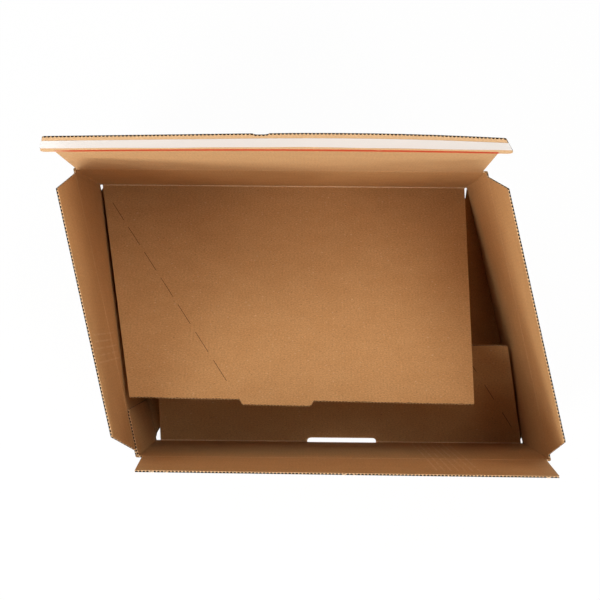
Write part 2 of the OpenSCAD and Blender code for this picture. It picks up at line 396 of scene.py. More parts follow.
def finish_piece(name, local, faces, put, sheet_at=(0.0, 0.0), wear_and_painted_light=PLAIN):
    """Places a piece, keeps its flat place on the cut sheet as its UV map, and its faces' wear and
    painted light.
    """
    thing = new_object(name, put(local), faces)
    mesh = thing.data
    mesh.shade_smooth()
    mesh.set_sharp_from_angle(angle=math.radians(35))
    values = np.broadcast_to(np.array(wear_and_painted_light, np.float32), len(faces)).copy()
    # Each face's value holds real wear and tear, and painted shade, highlight and sheen
    mesh.attributes.new("worn", "FLOAT", "FACE").data.foreach_set("value", values)
    uv = mesh.uv_layers.new(name="sheet")
    loops = np.empty(len(mesh.loops), np.int32)
    mesh.loops.foreach_get("vertex_index", loops)
    flat = np.stack([local[:, 0] + sheet_at[0], local[:, 2] + sheet_at[1]], axis=1)
    uv.data.foreach_set("uv", flat[loops].ravel().astype(np.float32))
    return thing


def bars(cuts, width, low, high):
    """A closed bar along each cut, between two depths; a cut goes from (x, z) to (x, z)."""
    parts = []
    for start, end in cuts:
        a, b = np.array(start), np.array(end)
        side = np.array([-(b - a)[1], (b - a)[0]]) / np.linalg.norm(b - a) * width / 2
        ring = [a - side, b - side, b + side, a + side]
        corners = [(q[0], y, q[1]) for y in (low, high) for q in ring]
        sides = [(k + 4, (k + 1) % 4 + 4, (k + 1) % 4, k) for k in range(4)]
        parts.append((np.array(corners), sides + [(0, 1, 2, 3), (7, 6, 5, 4)]))
    return gathered(parts)


def slit(points, faces, cuts):
    """The outer face with short cuts through it, and a dark bar behind each cut, painted shade of
    the board there.
    """
    sheet = new_object("uncut", points, faces)
    knife = new_object("knife", *bars(cuts, CUT, -BOARD - PAPER, -BOARD + 2 * PAPER))
    cutting = sheet.modifiers.new("cuts", "BOOLEAN")
    cutting.operation, cutting.object, cutting.solver = "DIFFERENCE", knife, "MANIFOLD"
    done = shaped(sheet)
    points = np.array([v.co[:] for v in done.vertices])
    faces = [tuple(p.vertices) for p in done.polygons]
    for thing in (sheet, knife):
        bpy.data.objects.remove(thing)
    low, high = -BOARD + 0.4 * PAPER, -BOARD + 0.9 * PAPER  # within the paper's thickness
    # The dark bars are painted shade behind each cut
    dark = bars(cuts, CUT * 0.96, low, high)
    return gathered([(points, faces), dark])


def flute_face(x):
    """Where the waved sheet's inward face stands at x, through the board's thickness."""
    wave = FLUTE_STEEP * np.sin(2 * math.pi * x / FLUTE) + FLUTE_SHIFT
    return -BOARD / 2 + MEDIUM / 2 + FLUTE_RISE * np.clip(wave, -1, 1)


def board(
    name, low, high, put, step=8 * MM, rows=1, edge=None, sheet_at=(0.0, 0.0), cuts=(), rubbed_and_painted_sheen=PLAIN
):
    """One piece of fluted board: outer face, waved medium, inner face, its inner faces made paler
    by a painted sheen where one is given.
    """
    shift = np.array([0.0, -BOARD / 2, 0.0])
    waved, waved_faces = medium(low, high, rows, KRAFT_PAPER, edge)
    outer = slab(low, high, -BOARD, -BOARD + PAPER, step, rows, edge)
    if cuts:
        outer = slit(*outer, cuts)
    inner = slab(low, high, -PAPER, 0.0, step, rows, edge)
    under = [(x, z - CRUSHED) for x, z in high]
    burr = slab(under, high, flute_face, -PAPER + 0.01 * MM, FLUTE_STEP, 1, edge)
    local, faces = gathered([outer, (waved + shift, waved_faces), inner, burr])
    wear_and_painted_light = board_wear_and_painted_shade(local, faces, cuts)
    inward = np.arange(len(faces)) >= len(outer[1])
    # A painted sheen makes the inner faces of the lid and sealing edge paler
    wear_and_painted_light = np.where((wear_and_painted_light == PLAIN) & inward, rubbed_and_painted_sheen, wear_and_painted_light)
    across = np.full(len(local), sheet_at[0])
    across[:len(outer[0])] += OUTSIDE
    thing = finish_piece(name, local, faces, put, (across, sheet_at[1]), wear_and_painted_light)
    thing.data.materials.append(KRAFT_PAPER)
    return thing


def arc(corner, before, after, cut, n=5):
    """Points of a rounded corner of an outline."""
    a, b, c = (np.array(p, float) for p in (before, corner, after))
    p = b + (a - b) / np.linalg.norm(a - b) * cut
    q = b + (c - b) / np.linalg.norm(c - b) * cut
    ways = np.linspace(0, 1, n + 1)
    return [tuple((1 - s) ** 2 * p + 2 * s * (1 - s) * b + s * s * q) for s in ways]


def ragged(seed, rough, grain=2.4 * MM):
    """A small unevenness of a cut edge, as a function of x."""
    pick = random.Random(seed)
    count, before = 400, 50 * MM
    table = np.array([pick.uniform(-1, 0) for _ in range(count)]) * rough

    def edge(x):
        return np.interp((x + before) / grain, np.arange(count), table)

    return edge


# Materials
class Paint:
    """A new material and short ways to add nodes to it."""

    def __init__(self, name, rough, spot=0.3):
        self.mat = bpy.data.materials.new(name)
        self.mat.use_nodes = True
        self.tree = self.mat.node_tree
        self.shader = self.tree.nodes["Principled BSDF"]
        self.shader.inputs["Roughness"].default_value = rough
        self.shader.inputs["Specular IOR Level"].default_value = spot
        uv = self.tree.nodes.new("ShaderNodeUVMap")
        uv.uv_map = "sheet"
        self.uv = uv.outputs[0]
        split = self.tree.nodes.new("ShaderNodeSeparateXYZ")
        self.join(self.uv, split.inputs[0])
        self.x, self.z = split.outputs["X"], split.outputs["Y"]
        self.place = self.tree.nodes.new("ShaderNodeTexCoord").outputs["Object"]

    def join(self, value, socket):
        """Links an output to a socket, or sets a constant there."""
        if isinstance(value, (int, float)):
            socket.default_value = value
        elif isinstance(value, tuple):
            socket.default_value = (*value, 1)
        else:
            self.tree.links.new(value, socket)

    def maths(self, kind, *values):
        node = self.tree.nodes.new("ShaderNodeMath")
        node.operation = kind
        for value, socket in zip(values, node.inputs):
            self.join(value, socket)
        return node.outputs[0]

    def noise(self, size, detail=2.0, stretch=(1, 1, 1), shift=0.0, at=None):
        """Even noise from 0 to 1 with lumps of about this size in metres."""
        place = self.tree.nodes.new("ShaderNodeMapping")
        place.inputs["Scale"].default_value = [1 / (size * s) for s in stretch]
        place.inputs["Location"].default_value = (shift, shift, shift)
        self.join(self.uv if at is None else at, place.inputs["Vector"])
        node = self.tree.nodes.new("ShaderNodeTexNoise")
        node.inputs["Scale"].default_value = 1.0
        node.inputs["Detail"].default_value = detail
        self.join(place.outputs[0], node.inputs["Vector"])
        return node.outputs["Fac"]

    def ramp(self, value, low, high, out_low=0.0, out_high=1.0):
        node = self.tree.nodes.new("ShaderNodeMapRange")
        node.interpolation_type = "SMOOTHSTEP"
        limits = {"From Min": low, "From Max": high, "To Min": out_low, "To Max": out_high}
        for name, limit in limits.items():
            node.inputs[name].default_value = limit
        self.join(value, node.inputs["Value"])
        return node.outputs["Result"]

    def mix(self, share, first, second):
        node = self.tree.nodes.new("ShaderNodeMix")
        node.data_type = "RGBA"
        self.join(share, node.inputs["Factor"])
        self.join(first, node.inputs[6])
        self.join(second, node.inputs[7])
        return node.outputs[2]

    def scaled(self, colour, share):
        """A colour made lighter or darker by a factor."""
        node = self.tree.nodes.new("ShaderNodeVectorMath")
        node.operation = "SCALE"
        self.join(colour, node.inputs[0])
        self.join(share, node.inputs["Scale"])
        return node.outputs[0]

    def attribute(self, name):
        node = self.tree.nodes.new("ShaderNodeAttribute")
        node.attribute_name = name
        return node.outputs["Fac"]

    def bump(self, height, distance, strength=1.0):
        node = self.tree.nodes.new("ShaderNodeBump")
        node.inputs["Strength"].default_value = strength
        node.inputs["Distance"].default_value = distance
        self.join(height, node.inputs["Height"])
        self.join(node.outputs[0], self.shader.inputs["Normal"])

    def band(self, value, low, high, soft):
        """One between low and high, fading over soft on both sides."""
        up = self.ramp(value, low - soft, low + soft)
        return self.maths("MULTIPLY", up, self.ramp(value, high - soft, high + soft, 1.0, 0.0))

    def streaks(self, x_first, x_last, z_low, z_high):
        """Rubbed lines along every second flute, between two places on a wall and two heights."""
        wander = self.maths("MULTIPLY", self.ramp(self.z, 0.0, 0.2, 1.0, 0.0), 2.5 * MM)
        along = self.maths("ADD", self.x, wander)
        phase = self.maths("DIVIDE", self.maths("SUBTRACT", along, x_first), 2 * FLUTE)
        wave = self.maths("COSINE", self.maths("MULTIPLY", phase, 2 * math.pi))
        lines = self.ramp(wave, 0.45, 0.98)
        inside = self.maths(
            "MULTIPLY", self.band(along, x_first - FLUTE, x_last + FLUTE, 0.2 * MM),
            self.band(self.z, z_low, z_high, 9 * MM),
        )
        worn = self.ramp(self.noise(14 * MM, 2, (0.3, 1, 1), 7.0), 0.32, 0.6)
        return self.maths("MULTIPLY", self.maths("MULTIPLY", lines, inside), worn)


KRAFT_DARK, KRAFT_LIGHT = (0.53, 0.289, 0.116), (0.555, 0.309, 0.129)
SPECK_DARK, SPECK_LIGHT = (0.20, 0.10, 0.045), (0.86, 0.66, 0.45)
# The second colour is the pale of torn and cut paper and of the painted highlight and sheen; the
# last is painted shade, for the flute hollows, the cuts and the outer paper's cut edges
RUBBED_FIBRE, TORN_FIBRE_AND_PAINTED_LIGHT, PAINTED_SHADE_DARK = (0.84, 0.62, 0.40), (0.88, 0.68, 0.46), (0.045, 0.022, 0.011)


def kraft_material():
    """Brown kraft paper: cloudy, fibrous, specked, faintly waved by the flutes under it."""
    p = Paint("kraft_paper", 0.82, 0.15)
    colour = p.mix(p.ramp(p.noise(17 * MM, 4, (1.6, 1, 1)), 0.3, 0.7), KRAFT_DARK, KRAFT_LIGHT)
    fibres = p.noise(1.0 * MM, 2, (2.0, 1, 1), 3.0)
    grain = p.noise(0.8 * MM, 1, at=p.place)
    grained = p.ramp(grain, 0.25, 0.75, -0.1, 0.1)
    tone = p.maths("ADD", p.ramp(fibres, 0.3, 0.7, 0.88, 1.12), grained)
    wave = p.maths("SINE", p.maths("MULTIPLY", p.x, 2 * math.pi / FLUTE))
    tone = p.maths("ADD", tone, p.maths("MULTIPLY", wave, 0.012))
    dark = p.ramp(p.noise(1.7 * MM, 1, (1.6, 1, 1), 11.0), 0.68, 0.75, 0.0, 0.5)
    light = p.ramp(p.noise(1.9 * MM, 1, (1.8, 1, 1), 23.0), 0.69, 0.76, 0.0, 0.35)
    colour = p.scaled(colour, tone)
    colour = p.mix(dark, colour, SPECK_DARK)
    colour = p.mix(light, colour, SPECK_LIGHT)
    front, side = SHEET_AT["front"], SHEET_AT["left"]
    on_front = p.streaks(front + 281 * MM, front + 319.5 * MM, 15 * MM, 285 * MM)
    on_side = p.streaks(side + 163 * MM, side + 189 * MM, 150 * MM, 292 * MM)
    rubbed_and_painted_sheen = p.maths("ADD", on_front, on_side)
    colour = p.mix(p.maths("MULTIPLY", rubbed_and_painted_sheen, 0.22), colour, RUBBED_FIBRE)
    worn = p.attribute("worn")
    # Positive values pale the paper: torn and cut paper, and the painted highlight and sheen
    torn_and_painted_light = p.maths("MULTIPLY", worn, p.ramp(p.noise(1.6 * MM, 2, shift=5.0), 0.3, 0.7, 0.5, 1.0))
    colour = p.mix(torn_and_painted_light, colour, TORN_FIBRE_AND_PAINTED_LIGHT)
    # Painted shade: negative values darken the hollows, the cuts and the outer paper's cut edge
    # towards near black
    colour = p.mix(p.ramp(worn, PAINTED_HOLLOW_SHADE, PLAIN, 1.0, 0.0), colour, PAINTED_SHADE_DARK)
    p.join(colour, p.shader.inputs["Base Color"])
    height = p.maths("ADD", p.maths("MULTIPLY", wave, 0.35), fibres)
    p.bump(height, 0.05 * MM, 0.6)
    return p.mat


KRAFT_PAPER = kraft_material()


def tape_material():
    """Thin red tape over kraft, its colour fading out near the lid's left end."""
    p = Paint("red_tape", 0.42, 0.5)
    red = p.mix(p.noise(5 * MM, 2, (3, 1, 1)), (0.50, 0.045, 0.012), (0.60, 0.07, 0.02))
    faded = p.ramp(p.x, WIDTH - 32 * MM, WIDTH - 12 * MM, 0.0, 0.75)
    thin = p.ramp(p.noise(9 * MM, 2, (1, 0.3, 1), 4.0), 0.55, 0.75, 0.0, 0.3)
    colour = p.mix(p.maths("MAXIMUM", faded, thin), red, (0.64, 0.35, 0.17))
    p.join(colour, p.shader.inputs["Base Color"])
    p.bump(p.noise(2 * MM, 2, (4, 1, 1)), 0.03 * MM, 0.5)
    return p.mat


def liner_material():
    """White siliconed release paper, slightly cockled."""
    p = Paint("liner_paper", 0.38, 0.4)
    colour = p.mix(p.noise(30 * MM, 2, (3, 1, 1)), (0.72, 0.69, 0.655), (0.765, 0.735, 0.70))
    grain = p.ramp(p.noise(1.2 * MM, 1), 0.2, 0.8, 0.985, 1.015)
    p.join(p.scaled(colour, grain), p.shader.inputs["Base Color"])
    p.bump(p.noise(22 * MM, 2, (1, 0.4, 1), 2.0), 0.6 * MM, 0.35)
    return p.mat


def glue_material():
    """A clear amber glue line, seen only along the liner's edge."""
    p = Paint("glue", 0.25, 0.5)
    colour = p.mix(p.noise(3 * MM, 2), (0.72, 0.62, 0.42), (0.84, 0.75, 0.56))
    p.join(colour, p.shader.inputs["Base Color"])
    p.bump(p.noise(2 * MM, 1), 0.1 * MM, 0.4)
    return p.mat


# Walls
SOFT = WALL_TOP - CREASE_HALF
CORNER = 1.2 * MM  # from here on a wall's board is crushed into its corner fold
SLOT_FLOOR = WALL_TOP - 4 * MM  # down to here run the slots that part the top flaps
# Where each top flap starts and ends, counted inward from its wall's two ends
SHOULDERS = {
    "lid": (4.5 * MM, 2.2 * MM),
    "front": (5.2 * MM, 3.4 * MM),
    "left": (4.5 * MM, 6.5 * MM),
    "right": (5.5 * MM, 5.3 * MM),
}


def wall_board(name, wall, shoulder, low, sheet_at):
    """A wall from its rim to its top crease, slotted at both ends where two top flaps part."""
    start, end = CORNER, wall.length - CORNER
    left, right = shoulder[0], wall.length - shoulder[1]
    high = [
        (start, SLOT_FLOOR), (left, SLOT_FLOOR), (left, SOFT),
        (right, SOFT), (right, SLOT_FLOOR), (end, SLOT_FLOOR),
    ]
    return board(name, low, high, wall.put, sheet_at=sheet_at)


RIM = 0.7 * MM  # a wall's flat board starts this far over its rounded rim
# The lock slot across the front crease: its middle, half its length, its reach up and inward
SLOT_MIDDLE, SLOT_HALF = 202.7 * MM, 37.3 * MM
SLOT_UP, SLOT_IN = 8 * MM, 8 * MM
SLOT_ENDS = (SLOT_MIDDLE - SLOT_HALF, SLOT_MIDDLE + SLOT_HALF)


def rim(wall):
    """The lower end of a wall's flat board."""
    return [(CORNER, RIM), (wall.length - CORNER, RIM)]


walls = [
    wall_board("rear_wall", REAR, SHOULDERS["lid"], rim(REAR), on_sheet("rear")),
    wall_board("left_wall", LEFT, SHOULDERS["left"], rim(LEFT), on_sheet("left")),
    wall_board("right_wall", RIGHT, SHOULDERS["right"], rim(RIGHT), on_sheet("right")),
    wall_board(
        "front_wall", FRONT, SHOULDERS["front"],
        [
            (CORNER, RIM), (SLOT_ENDS[0], RIM), (SLOT_ENDS[0], SLOT_UP),
            (SLOT_ENDS[1], SLOT_UP), (SLOT_ENDS[1], RIM), (WIDTH - CORNER, RIM),
        ],
        on_sheet("front"),
    ),
]


def swept(name, section, ends, put, sheet_at=(0.0, 0.0), steps=1, wear_and_painted_light=PLAIN):
    """A closed section of (y, z) points, drawn along x from one end to the other."""
    n = len(section)
    xs = np.linspace(ends[0], ends[1], steps + 1)
    local = np.array([(x, y, z) for x in xs for y, z in section])
    faces = []
    for i in range(steps):
        for k in range(n):
            a, b = i * n + k, i * n + (k + 1) % n
            faces.append((a, b, b + n, a + n))
    faces.append(tuple(range(n - 1, -1, -1)))
    faces.append(tuple(steps * n + k for k in range(n)))
    thing = finish_piece(name, local, faces, put, sheet_at, wear_and_painted_light)
    thing.data.materials.append(KRAFT_PAPER)
    return thing


def fold_bead(name, wall, ends, sheet_at):
    """The lower edge of a wall, where the board turns inward under itself."""
    half, top = BOARD / 2, RIM + 0.3 * MM
    angles = np.linspace(math.pi, 0, 9)
    turn = [(-half - half * math.cos(a), RIM - RIM * math.sin(a)) for a in angles]
    return swept(name, [(0.0, top)] + turn + [(-BOARD, top)], ends, wall.put, sheet_at)


beads = [
    fold_bead("rear_rim", REAR, (CORNER, WIDTH - CORNER), on_sheet("rear")),
    fold_bead("left_rim", LEFT, (CORNER, DEPTH - CORNER), on_sheet("left")),
    fold_bead("right_rim", RIGHT, (CORNER, DEPTH - CORNER), on_sheet("right")),
    fold_bead("front_rim_left", FRONT, (CORNER, SLOT_ENDS[0]), on_sheet("front")),
    fold_bead("front_rim_right", FRONT, (SLOT_ENDS[1], WIDTH - CORNER), on_sheet("front")),
]


def corner_fold(name, before, after):
    """The upright fold between two walls: crushed board round a small radius, beaded inside."""
    corner = np.array(after.corner.to_2d())
    out_a, out_b = -np.array(before.inward.to_2d()), -np.array(after.inward.to_2d())
    start, end = (math.atan2(out[1], out[0]) for out in (out_a, out_b))
    if end < start:
        end += 2 * math.pi
    overlap, bead = CORNER * 1.05, 0.25 * MM
    back = corner - np.array(before.along.to_2d()) * overlap
    ahead = corner + np.array(after.along.to_2d()) * overlap
    inner_mid = corner - bead * (out_a + out_b) / np.linalg.norm(out_a + out_b)
    round_it = np.linspace(start, end, 8)
    outline = [back + out_a * BOARD]
    outline += [corner + BOARD * np.array([math.cos(a), math.sin(a)]) for a in round_it]
    outline += [ahead + out_b * BOARD, ahead, inner_mid, back]
    n = len(outline)
    heights = (0.0, SLOT_FLOOR)
    points = np.array([(p[0], p[1], z) for z in heights for p in outline])
    faces = [(k, (k + 1) % n, n + (k + 1) % n, n + k) for k in range(n)]
    faces += [tuple(range(n - 1, -1, -1)), tuple(range(n, 2 * n))]
    # The top face is darkened with painted shade
    wear_and_painted_light = [PLAIN] * (len(faces) - 1) + [PAINTED_SHADE_SLOT_END]
    thing = finish_piece(name, points, faces, lambda p: p, on_sheet(name), wear_and_painted_light)
    thing.data.materials.append(KRAFT_PAPER)
    return thing


folds = [
    corner_fold("front_left_fold", LEFT, FRONT),
    corner_fold("front_right_fold", FRONT, RIGHT),
    corner_fold("rear_right_fold", RIGHT, REAR),
    corner_fold("rear_left_fold", REAR, LEFT),
]

# The glue lap lies on the left wall's inner face, its upper edge torn.
LAP_START, LAP_END, LAP_FOOT = DEPTH - 45.5 * MM, DEPTH - 0.1 * MM, 4.5 * MM


def on_lap(p):
    return LEFT.put(p + np.array([0.0, BOARD, 0.0]))


lap = board(
    "glue_lap",
    [(LAP_START, 6 * MM), (LAP_START + 4 * MM, LAP_FOOT), (LAP_END, LAP_FOOT)],
    [
        (LAP_START, WALL_TOP - 6 * MM), (LAP_START + 3 * MM, WALL_TOP - 2.4 * MM),
        (DEPTH - 5.2 * MM, WALL_TOP - 2.2 * MM), (DEPTH - 5 * MM, SLOT_FLOOR),
        (LAP_END, SLOT_FLOOR),
    ],
    on_lap, step=0.7 * MM, rows=2, edge=ragged(11, 2.0 * MM, 1.3 * MM),
    sheet_at=on_sheet("glue_lap"),
)

# Bottom flaps
REAR_BASE = 278.5 * MM
FRONT_BASE = 135.8 * MM
SIDE_BASE = 105 * MM
BASE_FOOT = 0.8 * MM  # a bottom flap starts this far from its crease
TAB_MIDDLE, TAB_HALF, TAB_OUT = WIDTH - 198 * MM, 36 * MM, 6 * MM


def rear_tilt(x):
    """The long flap is twisted a little: its free right end hangs lower than its glued left end."""
    return np.radians(35.2 + 1.9 * x / WIDTH)


def diagonal_cuts(corner, side, first, dash, pitch, count):
    """Perforation on the fold line that runs at 60 degrees from a corner at x, cut by cut."""
    way = np.array([side * math.cos(math.radians(60)), math.sin(math.radians(60))])
    start = np.array([corner, 0.0])
    places = [first + i * pitch for i in range(count)]
    return [(start + way * r, start + way * (r + dash)) for r in places]


def lock_tab():
    """The lock tab's outline on the rear bottom flap's free edge."""
    side = [(1 * MM, 0.0), (0.0, 0.6 * MM), (-2.2 * MM, TAB_OUT - 1.2 * MM), (-3.6 * MM, TAB_OUT)]
    near = [(TAB_MIDDLE - TAB_HALF - x, REAR_BASE + z) for x, z in side]
    return near + [(TAB_MIDDLE + TAB_HALF + x, REAR_BASE + z) for x, z in side[::-1]]


def rear_bottom_flap():
    start, end = (2.8 * MM, BASE_FOOT), (WIDTH - 2.7 * MM, BASE_FOOT)
    right, left = (9 * MM, REAR_BASE), (WIDTH - 54.8 * MM, REAR_BASE)
    high = [start] + arc(right, start, (TAB_MIDDLE - TAB_HALF, REAR_BASE), 1.5 * MM)
    high += lock_tab()
    high += arc(left, (TAB_MIDDLE + TAB_HALF, REAR_BASE), end, 1.5 * MM) + [end]
    return board(
        "rear_bottom_flap", [start, end], high,
        on_bottom(REAR, 1, rear_tilt), step=1.2 * MM, rows=6, edge=ragged(3, 0.9 * MM, 1.9 * MM),
        sheet_at=on_sheet("rear_bottom"),
        cuts=diagonal_cuts(WIDTH, -1, 33 * MM, 28 * MM, 39.3 * MM, 7),
    )


def front_bottom_flap():
    left, right = (5.7 * MM, BASE_FOOT), (WIDTH - 2 * MM, BASE_FOOT)
    far_left, far_right = (8.5 * MM, FRONT_BASE), (WIDTH - 28.8 * MM, FRONT_BASE)
    high = [left] + arc(far_left, left, far_right, 5 * MM)
    high += arc(far_right, far_left, right, 3 * MM) + [right]
    start, end = SLOT_ENDS
    slot = arc((start, SLOT_IN), (start, 0), (end, SLOT_IN), 5 * MM)
    slot += arc((end, SLOT_IN), (start, SLOT_IN), (end, 0), 5 * MM)
    low = [left, (start, BASE_FOOT)] + slot + [(end, BASE_FOOT), right]
    return board(
        "front_bottom_flap", low, high, on_bottom(FRONT, 1),
        step=1.5 * MM, rows=4, edge=ragged(5, 0.3 * MM), sheet_at=on_sheet("front_bottom"),
        cuts=diagonal_cuts(WIDTH, -1, 30 * MM, 23 * MM, 43.5 * MM, 3),
    )


def side_bottom_flap(name, wall, toe_back, sheet_at):
    """A side bottom flap up to its diagonal fold, and cut at 50 degrees beyond it."""
    foot, end = 0.3 * MM, DEPTH - 1 * MM
    tip, fold_end, toe = (4.5 * MM, 4.5 * MM), (SIDE_BASE, SIDE_BASE), (end - toe_back, 5 * MM)
    low = [(tip[0], tip[1] - 0.1 * MM), (7 * MM, foot), (end, foot)]
    slope_at = toe[0] - (SIDE_BASE - toe[1]) / math.tan(math.radians(50))
    high = [tip, fold_end] + arc((slope_at, SIDE_BASE), fold_end, toe, 6 * MM)
    high += [toe, (end, foot + 0.05 * MM)]
    return board(name, low, high, on_bottom(wall, 0), step=4 * MM, rows=2, sheet_at=sheet_at)


def glued_tab(name, wall, sheet_at, tilt=lambda x: TILT):
    """The folded half of a side bottom flap, glued under its neighbour."""
    near, far = WIDTH - SIDE_BASE + 3 * MM, WIDTH - 4.2 * MM
    low = [(near, 3 * MM), (WIDTH - 5.5 * MM, 3 * MM), (far, 4 * MM)]
    high = [(near, SIDE_BASE - 3 * MM), (far, 4.15 * MM)]
    return board(name, low, high, on_bottom(wall, 0, tilt), step=4 * MM, rows=2, sheet_at=sheet_at)


bottom = [
    rear_bottom_flap(),
    front_bottom_flap(),
    side_bottom_flap("left_bottom_flap", LEFT, 7 * MM, on_sheet("left_bottom")),
    side_bottom_flap("right_bottom_flap", RIGHT, 9.5 * MM, on_sheet("right_bottom")),
    glued_tab("left_glued_tab", REAR, on_sheet("left_tab"), rear_tilt),
    glued_tab("right_glued_tab", FRONT, on_sheet("right_tab")),
]


def fold_ridge(name, wall, ends, sheet_at):
    """The paper that bulges out along the fold where a bottom flap leaves its wall, painted pale as
    a highlight.
    """
    y, z, radius = 0.3 * MM, 4.1 * MM, 0.8 * MM
    turn = [2 * math.pi * k / 8 for k in range(8)]
    section = [(y + radius * math.cos(a), z + radius * math.sin(a)) for a in turn]
    return swept(name, section, ends, wall.put, sheet_at, steps=6, wear_and_painted_light=PAINTED_HIGHLIGHT_RIDGE)


ridges = [
    fold_ridge("rear_fold_ridge", REAR, (2 * MM, WIDTH - 4 * MM), on_sheet("rear_bottom")),
    fold_ridge(
        "front_fold_ridge_left", FRONT, (6 * MM, SLOT_ENDS[0] - 1 * MM), on_sheet("front_bottom")
    ),
    fold_ridge(
        "front_fold_ridge_right", FRONT, (SLOT_ENDS[1] + 1 * MM, WIDTH - 2.5 * MM),
        on_sheet("front_bottom"),
    ),
]

# Top flaps
SIDE_FLAP = 141.5 * MM
FRONT_FLAP = 141.5 * MM
LID = 185 * MM
SEAL = 40 * MM


def flap_lean(degrees_at_start, degrees_at_end, length):
    """A flap that is twisted a little: its lean goes evenly from one end to the other."""
    return lambda x: np.radians(degrees_at_start + (degrees_at_end - degrees_at_start) * x / length)


LEFT_LEAN = flap_lean(0.6, 1.05, DEPTH)
RIGHT_LEAN = flap_lean(2.05, 2.4, DEPTH)
FRONT_LEAN = flap_lean(1.0, 0.2, WIDTH)


def flap_outline(shoulders, recesses, wall_length, length, cut):
    """Foot and free edge of a top flap that tapers from its shoulders to its recesses."""
    taper = CREASE_HALF / length
    start = (shoulders[0] + (recesses[0] - shoulders[0]) * taper, CREASE_HALF)
    end = (wall_length - shoulders[1] - (recesses[1] - shoulders[1]) * taper, CREASE_HALF)
    a, b = (recesses[0], length), (wall_length - recesses[1], length)
    return [start, end], [start] + arc(a, start, b, cut, 3) + arc(b, a, end, cut, 3) + [end]


def top_flap(wall, side, recesses, length, lean, seed):
    """The front or a side top flap, whose recesses say how far its free edge is cut back."""
    low, high = flap_outline(SHOULDERS[side], recesses, wall.length, length, 1.2 * MM)
    return board(
        side + "_top_flap", low, high, on_flap(wall, lean), step=2 * MM, rows=3,
        edge=ragged(seed, 0.35 * MM), sheet_at=on_sheet(side, WALL_TOP),
    )


def lid_lean(x):
    """The lid leans in at both ends, more at its left, and its middle bows back."""
    t = x / WIDTH
    return np.radians(0.75 + 0.5 * t - 2.2 * t * (1 - t))


def lid_main():
    """The lid up to its tear line, with the small gap in the cut line near its right end."""
    recess, gap_floor = 14 * MM, LID - 0.9 * MM
    low, corners = flap_outline(SHOULDERS["lid"], (recess, recess), WIDTH, LID, 0.01 * MM)
    gap = [(22 * MM, LID), (24 * MM, gap_floor), (36 * MM, gap_floor), (38 * MM, LID)]
    high = [corners[0], (recess, LID)] + gap + [(WIDTH - recess, LID), corners[-1]]
    # Its inner face is made paler with a painted sheen
    return board(
        "lid_panel", low, high, on_flap(REAR, lid_lean), step=4 * MM, rows=4,
        sheet_at=on_sheet("rear", WALL_TOP), rubbed_and_painted_sheen=PAINTED_SHEEN_LID,
    )


def on_seal(p):
    """A place on the sealing edge: z from the tear line, its lean changing along the lid."""
    t = p[:, 0] / WIDTH
    out = np.radians(10 + 1.3 * t + 9 * t * (1 - t) + 1.3 * np.sin(2 * math.pi * t))
    q = turned(p, -out, 0.0, 0.0) + np.array([0.0, 0.0, LID])
    return on_flap(REAR, lid_lean)(q)


SEAL_FOOT, SEAL_TIP = (2 * MM, 2 * MM), (12.5 * MM, 10 * MM)


def seal_end(side, z):
    """Where the sealing edge ends at a height over the tear line, right (0) or left (1)."""
    inset = SEAL_FOOT[side] + (SEAL_TIP[side] - SEAL_FOOT[side]) * z / SEAL
    return WIDTH - inset if side else inset


def seal_edge():
    """The sealing edge: rounded lower corners, and a thumb notch in its free edge."""
    recess, corner = SEAL_FOOT[0], 4.5 * MM
    notch, half, deep = WIDTH / 2 + 12 * MM, 7 * MM, 2.8 * MM
    start, end = (recess, 0.0), (WIDTH - recess, 0.0)
    a, b = (SEAL_TIP[0], SEAL), (WIDTH - SEAL_TIP[1], SEAL)
    across = np.linspace(-0.98, 0.98, 15)
    high = [(recess, corner)] + arc(a, start, b, 2 * MM) + [(notch - half, SEAL)]
    high += [(notch + half * s, SEAL - deep * (1 - s**4) ** 0.8) for s in across]
    high += [(notch + half, SEAL)] + arc(b, a, end, 2 * MM) + [(WIDTH - recess, corner)]
    turn = [(0.0, corner - 0.1 * MM), (0.7 * MM, 2 * MM), (2 * MM, 0.7 * MM), (corner, 0)]
    low = [(recess + x, z) for x, z in turn]
    low += [(WIDTH - x, z) for x, z in low[::-1]]
    # Its inner face is made paler with a painted sheen
    return board(
        "sealing_edge", low, high, on_seal, step=2 * MM, rows=3,
        edge=ragged(31, 0.25 * MM), sheet_at=on_sheet("rear", WALL_TOP + LID), rubbed_and_painted_sheen=PAINTED_SHEEN_SEAL,
    )


# Torn fibres on the front flap's cut edge: share of its length, width and height in millimetres
TUFTS = (
    (0.075, 3.4, 0.5), (0.107, 1.8, 0.4), (0.493, 2.6, 0.9),
    (0.515, 1.6, 0.5), (0.937, 3.2, 1.1), (0.72, 1.4, 0.4),
)
FRAY = (-BOARD - 0.1 * MM, -0.9 * MM)  # how deep in the board they sit


def tufts():
    """Pale torn fibres that stand over the front flap's cut edge."""
    pick = random.Random(17)
    parts = []
    for share, wide, tall in TUFTS:
        x, wide, tall = WIDTH * share, wide * MM, tall * MM
        xs = np.linspace(x - wide / 2, x + wide / 2, 7)
        lift = [0.0] + [pick.uniform(0.35, 1.0) * tall for _ in xs[1:-1]] + [0.0]
        low = [(v, FRONT_FLAP - 0.8 * MM - 0.25 * h) for v, h in zip(xs, lift)]
        high = [(v, FRONT_FLAP - 0.1 * MM + h) for v, h in zip(xs, lift)]
        parts.append(slab(low, high, *FRAY, wide / 8, 1))
    local, faces = gathered(parts)
    put = on_flap(FRONT, FRONT_LEAN)
    thing = finish_piece("front_flap_fibres", local, faces, put, on_sheet("front", WALL_TOP), TORN)
    thing.data.materials.append(KRAFT_PAPER)
    return thing


